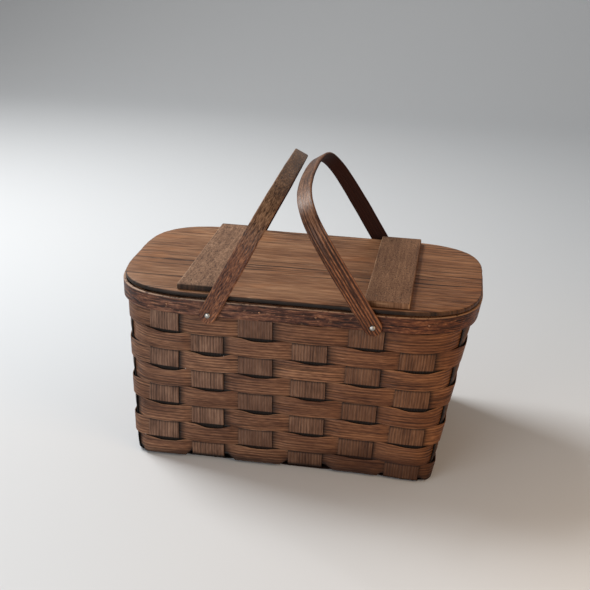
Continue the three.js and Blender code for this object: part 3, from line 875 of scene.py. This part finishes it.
def add_weaver(row):
    last = row == row_count - 1
    seam = seam_upright + (seam_upright + row + 1) % 2
    ends = seam + seam_gap, seam + upright_count - seam_gap
    station = np.linspace(*ends, upright_count * weaver_steps)
    wave = weave(station, row)
    beside = station - np.round(station)
    upright = np.mod(np.round(station), upright_count)
    left_end = np.isin(upright, left_end_uprights)
    over = outside(upright, row) > 0
    belly = np.cos(np.pi * beside) ** 2
    loop = np.where(over, belly, 0)
    dip = smooth_step(beside, -0.36, 0.02) * smooth_step(beside, 0.5, 0.22)
    dip = np.where(over & (row > 1), dip, 0)
    low, high = row_levels(row)
    hidden = smooth_step(-wave, 0.35, 0.9) * hidden_overlap
    if row == 0:
        low_edge = low - row_overlap - hidden
        high_edge = high + 0 * station
        middle = wave * strip_wave
        tilt = 0 * station
    else:
        length = station * station_length
        low_edge = low - row_overlap + belly * waver(length, row + 2, weaver_low_waver) - hidden
        high_edge = high + row_overlap + belly * waver(length, row + 31, weaver_high_waver)
        high_edge -= hang(upright, row) * dip
        if last:
            raised = np.where(np.isin(upright, round_splints), bend_lift, 0)
            low_edge = low + row_overlap - bottom_row_sag * smooth_step(wave, -0.6, 0.2)
            low_edge += raised * smooth_step(-wave, 0.75, 0.97)
        else:
            low_edge -= hang(upright, row) * loop * low_droop_share
        own = 1 + 0.25 * ripple(upright, row + 9, 5.1)
        middle = wave * strip_wave + outside_bulge * own * loop + np.minimum(wave, 0) * inside_depth
        middle -= outside_bulge * 0.6 * loop * left_end
        tilt = loop_tilt * loop * np.where(left_end, 0.2, 1)
    across, out = strip_places(low_edge, high_edge, thin_weaver, strip_rounding)
    lean = tilt[:, None] * (across - (low_edge + high_edge)[:, None] / 2) / (high - low) * 2
    points = wall_spot(station[:, None], across, middle[:, None] + lean + out)
    # Painted shade where the weaver runs inside behind an upright, left off at the left end in the
    # upper rows, and along the bottom row's low edge
    shaded = np.where(left_end & (row < unshaded_row_count), 0, smooth_step(beside, -0.1, 0.25))
    grime = (smooth_step(-wave, 0.8, 0.99) * shaded)[:, None]
    above_low = across - low_edge[:, None]
    if last:
        grime = np.maximum(grime, smooth_step(above_low, *foot_shade))
    add_woven(
        f"weaver_row_{row}", points, across, low_edge, high_edge, row + 1,
        "weaver_wood", weaver_finish, grime=grime, tucked=hidden[:, None] - above_low,
    )


for row in range(row_count):
    add_weaver(row)


# Values given at whole places, joined by half waves
def eased(values, place):
    below = np.floor(place).astype(int).clip(0, len(values) - 2)
    turn = (1 - np.cos((place - below) * np.pi)) / 2
    return values[below] + turn * (values[below + 1] - values[below])


# How far an upright leans out or in between the weavers at one height
def upright_offset(upright, height):
    rows = np.arange(row_count - 1, -1, -1)
    centres = [sum(row_levels(row)) / 2 for row in rows]
    leans = np.where(rows > 0, -outside(upright, rows) * upright_wave, 0)
    levels = np.concatenate([[wall_foot], centres, [wall_top]])
    place = np.interp(height, levels, np.arange(len(levels)))
    return eased(np.concatenate([[0], leans, [0]]), place)


# Levels down an upright, closer together where a loop's top edge crosses it
def leg_levels():
    levels = list(np.linspace(wall_top, wall_foot, 46))
    for row in range(1, row_count):
        levels += [row_levels(row)[1] + step for step in (2.4, 1.8, 1.3, 0.8, 0, -1.5, -3.5)]
    return np.array(sorted(levels, reverse=True))


leg_heights = leg_levels()


# One end of a splint, down the wall from the rim and round the bend into the base
def splint_end(upright, radius, heights, across):
    station = upright + across / splint_width * 2 * edge_share
    heights = heights[:, None]
    leg = wall_spot(station, heights, upright_offset(upright, heights))
    flat = wall_normal(*np.broadcast_arrays(station, heights))
    leg_normals = np.concatenate([flat, np.zeros(flat.shape[:-1] + (1,))], axis=-1)
    start = base_level + radius
    foot = wall_spot(station, start, 0)
    outward = np.append(wall_normal(*single(upright, start))[0], 0)
    angle = np.arange(1, bend_steps + 1)[:, None, None] / bend_steps * math.pi / 2
    direction = outward * np.cos(angle) - np.array([0, 0, 1]) * np.sin(angle)
    bend = foot + (direction - outward) * radius
    bend_normals = np.broadcast_to(direction, bend.shape)
    return np.concatenate([leg, bend]), np.concatenate([leg_normals, bend_normals])


# The stretch under the basket, over and under the splints that cross it
def base_stretch(start, end, crossings):
    axis = 0 if abs(end[0][0] - start[0][0]) > abs(end[0][1] - start[0][1]) else 1
    share = np.linspace(0, 1, base_steps)[1:-1, None, None]
    spots = start + share * (end - start)
    places, lifts = np.array(sorted(crossings), float).T
    knots = np.sort(np.concatenate([places - splint_width / 2, places + splint_width / 2]))
    place = np.interp(spots[..., axis], knots, np.arange(len(knots)))
    spots[..., 2] = base_level + eased(np.repeat(lifts, 2), place) * weave_lift
    return spots, np.broadcast_to(np.array([0, 0, -1.0]), spots.shape)


cross_places = [share * base_half_length + base_drift for share in front_base_shares]
cross_count = len(cross_places)
long_count = len(left_base_shares)


# Painted shade on an upright behind the loops that pass over it
def pocket_shade(upright, heights):
    grime = np.zeros(len(heights))
    for row in range(1, row_count):
        if outside(upright, row) > 0:
            low, high = row_levels(row)
            behind = smooth_step(heights - high, *pocket_top_shade)
            grime = np.maximum(grime, behind * smooth_step(heights - low, *pocket_low_shade))
    return grime


def add_splint(name, start, end, crossings, seed, width_share=1, darkness=0.3):
    half = splint_width / 2 * width_share
    across, out = (places[0] for places in strip_places(-half, half, thin_splint, strip_rounding))
    radius = round_bend_radius if start in round_splints else bend_radius
    foot = base_level + radius
    heights = np.append(leg_heights[leg_heights > foot + 0.4], foot)
    first, first_normals = splint_end(start, radius, heights, across)
    last, last_normals = splint_end(end, radius, heights, -across)
    under, under_normals = base_stretch(first[-1], last[-1], crossings)
    normals = np.concatenate([first_normals, under_normals, last_normals[::-1]])
    points = np.concatenate([first, under, last[::-1]]) + normals * out[:, None]
    # Painted shade round the bends into the base; the stretch under the base is darkened as dirt
    bend_shade = smooth_step(np.arange(bend_steps), 0, 3)
    first_shade = np.append(pocket_shade(start, heights), bend_shade)
    last_shade = np.append(pocket_shade(end, heights), bend_shade)
    grime = np.concatenate([first_shade, np.full(len(under), 0.35), last_shade[::-1]])[:, None]
    # Painted shade in the slot where the front weavers turn the right front corner
    if start == cross_count:
        slot = np.linspace(right_slot, left_slot, len(points))[:, None]
        grime = np.maximum(grime, smooth_step(across + half, slot, slot - slot_blur))
    edges = np.full(len(points), half)
    add_woven(
        name, points, np.broadcast_to(across, points.shape[:2]), -edges, edges, seed,
        "splint_wood", splint_finish, grime=grime, tone=darkness,
    )


# Where a long splint lies across the base when it passes one of the cross splints
def length_place(j, x):
    run = (x - base_drift + base_half_length) / base_length
    left, right = left_base_shares[j], right_base_shares[j]
    return (left + run * (right - left)) * base_half_width


for i, place in enumerate(cross_places):
    crossings = [(length_place(j, place), -(-1) ** (i + j)) for j in range(long_count)]
    opposite = 2 * cross_count + long_count - 1 - i
    width_share, darkness = cross_width_shares[i], cross_dark_shares[i]
    add_splint(f"cross_splint_{i + 1}", i, opposite, crossings, 40 + i, width_share, darkness)

for j in range(long_count):
    crossings = [(place, (-1) ** (i + j)) for i, place in enumerate(cross_places)]
    add_splint(f"long_splint_{j + 1}", cross_count + j, upright_count - 1 - j, crossings, 50 + j)


# Rims are bent hoops whose tapered ends lap each other at the back
def add_rim(name, low, high, side, seam, seed, darkening):
    ending_station = upright_count + rim_lap
    station = np.linspace(seam, seam + ending_station, int(ending_station * rim_steps))
    starting = ((station - seam) / rim_lap).clip(0, 1)
    ending = ((station - seam - upright_count) / rim_lap).clip(0, 1)
    start_gap = (1 - starting) * (rim_thickness - rim_tip)
    end_taper = ending * (rim_thickness - rim_tip - fit_gap)
    end_gap = np.where(ending > 0, rim_tip + end_taper, 0)
    thickness = rim_thickness - start_gap - end_gap
    offset = side * rim_offset - start_gap / 2 + end_gap / 2
    length = station * station_length
    low_edge = low + waver(length, seed, rim_low_waver)
    high_edge = high + waver(length, seed + 3, rim_high_waver) - rim_high_waver[0]
    across, out = strip_places(low_edge, high_edge, thickness, rim_rounding)
    points = wall_spot(station[:, None], across, offset[:, None] + out)
    # Painted shade on the inner rim's top edge, where it shows in the gap under the lid
    grime = smooth_step(across - high, *inner_rim_shade) * darkening
    add_woven(
        name, points, across, low_edge, high_edge, seed, "rim_wood", rim_finish, grime=grime,
    )


add_rim("outer_rim", outer_rim_low, outer_rim_top, 1, 13.4, 60, 0)
add_rim("inner_rim", inner_rim_top - inner_rim_height, inner_rim_top, -1, 11.4, 61, 1)


# The lid pieces sit a little askew on the rim
def lid_place(points):
    turn = np.array(Matrix.Rotation(lid_turn, 3, "Z"))
    return np.asarray(points, float) @ turn.T + np.array(lid_shift)


def add_lid_board():
    edge_line = Loop(outline(
        lid_length / 2, lid_width / 2, lid_corner, lid_corner, lid_corner_share, 0,
    ))
    length = np.arange(lid_sides) / lid_sides * edge_line.total
    around = edge_line.at(length)
    outward = square_to(np.roll(around, -1, axis=0) - np.roll(around, 1, axis=0))
    rough = lid_waver * ripple(length, 4, edge_line.total / lid_waver_count)
    rough += lid_chips * ripple(length, 6, edge_line.total / lid_chip_count)
    rim_line = around + outward * (rough[:, None] - lid_waver)
    soft = lid_rounding * soft_share
    profile = [(lid_rounding, 0), (soft, soft), (0, lid_rounding)]
    profile += [(inset, lid_thickness - level) for inset, level in reversed(profile)]
    rings = [(rim_line - outward * inset, level, inset) for inset, level in profile]
    shares = np.linspace(0, 1, 12)[1:-1]
    under = [(rings[0][0] * share, 0, lid_inland) for share in shares]
    over = [(rings[-1][0] * share, lid_thickness, lid_inland) for share in reversed(shares)]
    rings = under + rings + over
    points = [
        np.column_stack([line, np.full(lid_sides, lid_bottom + level)])
        for line, level, inset in rings
    ]
    points = np.concatenate(points + [[[0, 0, lid_bottom], [0, 0, lid_top]]])
    insets = [inset for line, level, inset in rings] + [lid_inland]
    edge = np.repeat(insets, lid_sides)[:len(points)]
    grain = np.column_stack([points[:, :2], np.full(len(points), 70)])
    level = points[:, 2] - lid_bottom
    # Painted shade and dirt on the lid's edge, a little lighter at its top and towards the right
    # end
    grime = smooth_step(edge, *lid_edge_shade_and_dirt) * (1 - 0.15 * smooth_step(level, 3, lid_thickness))
    grime *= 1 - 0.3 * smooth_step(points[:, 0], 110, 215)
    faces = capped_faces(len(rings), lid_sides)
    add_piece(
        "lid_plank", lid_place(points), faces, "lid", "lid_wood", lid_finish, "lid_board",
        grain=grain, edge=edge, grime=grime,
    )


add_lid_board()

batten_top = lid_top + fit_gap + batten_thickness
batten_length = lid_width - 2 * batten_setback


def add_batten(side):
    name = "batten_left" if side < 0 else "batten_right"
    end = batten_length / 2
    soft = batten_rounding * soft_share
    run = np.concatenate([
        [-end, soft - end], np.linspace(-end, end, 60)[1:-1], [end - soft, end],
    ])
    shrink = np.zeros(len(run))
    shrink[[0, -1]] = batten_rounding
    shrink[[1, -2]] = soft
    wobble = waver(run, 8 + side, batten_waver)
    low = side * batten_centre - batten_width / 2 + shrink + wobble
    high = side * batten_centre + batten_width / 2 - shrink + wobble
    across, out = strip_places(low, high, batten_thickness - 2 * shrink, batten_rounding)
    run_places = np.broadcast_to(run[:, None], across.shape)
    points = np.stack([across, run_places, batten_top - batten_thickness / 2 + out], axis=-1)
    # Painted shade on the end faces, heavy on the left batten and light on the right
    end_shade = smooth_step(np.abs(run), end - batten_rounding, end)[:, None]
    add_strip(
        name, "_board", lid_place(points), run_places, across, low, high, 80 + side,
        "lid", "batten_wood", batten_finish, grime=end_shade * (0.95 if side < 0 else 0.15),
    )


add_batten(-1)
add_batten(1)


def frame_of(direction):
    axis = Vector(direction).normalized()
    across = axis.orthogonal().normalized()
    return np.array([across, axis.cross(across), axis])


# Rings round an axis, each with its radius, or one for each side, and its distance along the axis
def ring_points(rings, sides):
    angles = np.arange(sides) / sides * 2 * np.pi
    circle = np.column_stack([np.cos(angles), np.sin(angles)])
    return [
        np.column_stack([circle * np.reshape(radius, (-1, 1)), np.full(sides, float(level))])
        for radius, level in rings
    ]


# Turned pieces: a profile of (radius, distance along the axis) swept round the axis
def turned(profile, origin, direction, sides):
    points = ring_points(profile[1:-1], sides) + [[[0, 0, profile[0][1]], [0, 0, profile[-1][1]]]]
    points = np.concatenate(points) @ frame_of(direction) + origin
    return points, capped_faces(len(profile) - 2, sides)


def dome(radius, base, height, steps):
    angles = [math.pi / 2 * i / steps for i in range(steps + 1)]
    return [(radius * math.cos(angle), base + height * math.sin(angle)) for angle in angles]


# Rings with a bore, round or with flats
def bored(outer, start, thickness, chamfer, bore, origin, direction, sides=36, flats=0):
    end = start + thickness
    side_radius, end_radius = outer, outer - chamfer
    if flats:
        sector = 2 * np.pi / flats
        angles = np.arange(sides) / sides * 2 * np.pi
        side_radius = outer / np.cos((angles + sector / 2) % sector - sector / 2)
        end_radius = np.minimum(side_radius, outer * 1.04)
    rings = [
        (bore, start), (end_radius, start), (side_radius, start + chamfer),
        (side_radius, end - chamfer), (end_radius, end), (bore, end),
    ]
    points = np.concatenate(ring_points(rings, sides)) @ frame_of(direction) + origin
    return points, section_rings(len(rings), sides, True)


# A nail with a domed head, driven square into a face
def add_nail(name, face, direction, reach, body, slot, finish):
    tip = nail_tip - reach
    profile = [(0, tip), (nail_radius * 0.6, tip), (nail_radius, tip + tip_chamfer)]
    profile += [(nail_radius, 0.1), (nail_head_radius * 0.94, 0.1)]
    profile += dome(nail_head_radius, 0.25, nail_head_height, 5)
    points, faces = turned(profile, face, direction, 20)
    add_piece(name + "_turned", points, faces, body, slot, finish, name)


nail_height = outer_rim_top - rim_height * rim_nail_drop_share

# Rim nails stand square to the sloping wall
for i, upright in enumerate(nail_uprights):
    station = upright + rim_nail_station_share
    normal = wall_normal(*single(station, nail_height))[0]
    rise = wall_point(*single(station, wall_top))[0] - wall_point(*single(station, wall_foot))[0]
    slope = -rise.dot(normal) / (wall_top - wall_foot)
    face = wall_spot(*single(station, nail_height), np.array([rim_face_inset]))[0]
    direction = (normal[0], normal[1], slope)
    add_nail(f"rim_nail_{i + 1}", face, direction, nail_reach, "basket", "copper", copper_finish)

# Batten nails go in threes down both edges of each batten
corners = [(side, row, column) for side in (-1, 1) for row in (-1, 0, 1) for column in (-1, 1)]
for i, (side, row, column) in enumerate(corners):
    spot = lid_place([
        side * batten_centre + column * (batten_width / 2 - batten_nail_inset),
        row * (batten_length / 2 - batten_nail_end_inset),
        batten_top,
    ])
    reach = batten_thickness + batten_nail_bite
    add_nail(f"batten_nail_{i + 1}", spot, (0, 0, 1), reach, "lid", "steel", iron_finish)


# Handles and the bolts that they turn on
def wall_half_width(height):
    rise = (height - wall_foot) / (wall_top - wall_foot)
    return base_half_width + rise * (top_half_width - base_half_width)


rim_face = max(wall_half_width(outer_rim_top), wall_half_width(outer_rim_low)) + rim_face_inset
hoop_foot = rim_face + hoop_play + hoop_thickness / 2


# The strap's middle line from the bolt to the crown, as (distance out, height)
def hoop_line(height):
    foot = np.array([hoop_foot, 0.0])
    shoulder_point = np.array([hoop_foot + hoop_spread, hoop_shoulder_height])
    rise = (shoulder_point - foot) / np.linalg.norm(shoulder_point - foot)
    t = np.linspace(0, 1, 41)[:, None]
    curve = (
        (1 - t) ** 3 * shoulder_point
        + 3 * (1 - t) ** 2 * t * (shoulder_point + rise * hoop_shoulder_pull)
        + 3 * (1 - t) * t ** 2 * np.array([hoop_crown_pull, height])
        + t ** 3 * np.array([0, height])
    )
    toe_turns = np.radians([86, 76, 64, 50, 36, 24, 12])[:, None]
    toe = foot - rise * np.sin(toe_turns) * hoop_foot_width / 2
    straight = foot + (shoulder_point - foot) * np.linspace(0, 1, 17)[:-1, None]
    half = np.concatenate([toe, straight, curve])
    return np.concatenate([half, half[-2::-1] * np.array([-1, 1])])


def hoop_half_width(level, height):
    half = hoop_foot_width / 2
    taper = (level - hoop_shoulder_height) / (height - hoop_shoulder_height)
    straight = half - np.clip(taper, 0, 1) * (half - hoop_top_width / 2)
    toe = np.sqrt(np.maximum(half ** 2 - np.minimum(level, 0) ** 2, 0.25))
    return np.where(level < 0, np.maximum(toe, 0.8), straight)


def add_handle(name, side, height, pivot_rise, crown_offset, finish, seed):
    line = hoop_line(height)
    out_line = square_to(np.gradient(line, axis=0))
    along = lengths_along(line)
    half = hoop_half_width(line[:, 1], height)
    uneven = waver(along, seed, handle_waver)
    low, high = uneven - half, uneven + half
    across, out = strip_places(low, high, hoop_thickness, hoop_rounding)
    flat = line[:, None, :] + out_line[:, None, :] * out[..., None]
    points = np.stack([across, flat[..., 0], flat[..., 1]], axis=-1)
    lean = math.asin((pivot_offset - crown_offset) / height)
    turn = np.array(Matrix.Rotation(-side * lean, 3, "Y"))
    pivot = np.array([side * pivot_offset, 0, outer_rim_low + pivot_rise])
    # Painted shade on the strap's inner face
    inner_face_shade = smooth_step(section_table[:, 3], 0.5, -0.5)
    add_strip(
        name, "_strap", points @ turn.T + pivot, along[:, None], across, low, high, seed,
        name, "handle_wood", finish, height=(line[:, 1] / height)[:, None], grime=inner_face_shade,
    )


add_handle(
    "left_handle", -1, left_handle_height, left_pivot_rise, left_crown_offset,
    left_handle_finish, 90,
)
add_handle(
    "right_handle", 1, right_handle_height, right_pivot_rise, right_crown_offset,
    right_handle_finish, 91,
)


def add_pivot(side, facing, pivot_height):
    tag = f"{'front' if facing < 0 else 'back'}_{'left' if side < 0 else 'right'}"
    seats = [wall_half_width(pivot_height + reach) for reach in (-washer_radius, washer_radius)]
    washer_low = min(seats) - rim_face_inset - fit_gap - washer_thickness
    nut_low = washer_low - fit_gap - nut_thickness
    head_seat = hoop_foot + hoop_thickness / 2 + fit_gap
    tail = nut_low - bolt_tail
    profile = [(0, tail), (bolt_radius * 0.8, tail), (bolt_radius, tail + tip_chamfer)]
    profile += [(bolt_radius, head_seat), (bolt_head_radius * 0.96, head_seat)]
    profile += dome(bolt_head_radius, head_seat + 0.5, bolt_head_height - 0.5, 8)
    bore = bolt_radius + fit_gap
    nut_radius = nut_across_flats / 2
    washer = (washer_low, washer_thickness, washer_chamfer)
    nut = (nut_low, nut_thickness, nut_chamfer)
    line = ((side * pivot_offset, 0, pivot_height), (0, facing, 0))
    pieces = (
        ("bolt", "turned", turned(profile, *line, 40)),
        ("washer", "ring", bored(washer_radius, *washer, bore, *line)),
        ("nut", "hex", bored(nut_radius, *nut, bore, *line, 48, 6)),
    )
    for kind, ending, (points, faces) in pieces:
        node = f"pivot_{kind}_{tag}"
        add_piece(f"{node}_{ending}", points, faces, "basket", "steel", steel_finish, node)


for side, pivot_rise in ((-1, left_pivot_rise), (1, right_pivot_rise)):
    for facing in (-1, 1):
        add_pivot(side, facing, outer_rim_low + pivot_rise)


# Floor and backdrop in one pale sweep
def floor_paint():
    finish = Finish("floor_paint")
    place = finish.place()
    mottle = finish.noise(finish.stretched(place, (3, 3, 3)), 2, 0.5)
    colour = finish.mix(mottle * 0.3, seen(207, 210, 213), seen(200, 205, 211))
    finish.set(base_color=colour, roughness=0.85)
    return finish.material


def add_floor():
    half = 4
    front = -3
    back = 2.2
    radius = 1.2
    line = [(front, 0), (back, 0)]
    line += [
        (back + radius * math.sin(angle), radius - radius * math.cos(angle))
        for angle in np.linspace(0, math.pi / 2, 17)[1:]
    ]
    line.append((back + radius, 4))
    points = [(x, y, z) for y, z in line for x in (-half, half)]
    faces = [(2 * i, 2 * i + 1, 2 * i + 3, 2 * i + 2) for i in range(len(line) - 1)]
    mesh = bpy.data.meshes.new("floor")
    mesh.from_pydata(points, [], faces)
    mesh.polygons.foreach_set("use_smooth", [True] * len(faces))
    mesh.materials.append(floor_paint())
    floor = bpy.data.objects.new("floor", mesh)
    bpy.context.scene.collection.objects.link(floor)


add_floor()


# A window at the upper left, the sky low at the front left and a warm wall at the right
def add_lamp(name, place, aim, size, colour, power):
    lamp = bpy.data.lights.new(name, "AREA")
    lamp.shape = "RECTANGLE"
    lamp.size, lamp.size_y = size
    lamp.color = colour
    lamp.energy = power
    holder = bpy.data.objects.new(name, lamp)
    holder.location = place
    holder.rotation_mode = "QUATERNION"
    holder.rotation_quaternion = (Vector(aim) - Vector(place)).to_track_quat("-Z", "Y")
    bpy.context.scene.collection.objects.link(holder)


middle = (0, 0, 0.15)
add_lamp("window", (-1.4, 0.75, 1.75), middle, (1, 1), (1, 0.99, 0.97), 53)
add_lamp("sky", (-0.75, -1.45, 0.33), middle, (1, 0.45), (1, 0.99, 0.98), 11.5)
add_lamp("warm_wall", (0.85, -0.62, 0.5), middle, (0.7, 0.5), (1, 0.62, 0.3), 3.8)

world = bpy.data.worlds.new("room")
world.use_nodes = True
world.node_tree.nodes["Background"].inputs["Color"].default_value = (1, 0.98, 0.96, 1)
world.node_tree.nodes["Background"].inputs["Strength"].default_value = 0.29
bpy.context.scene.world = world
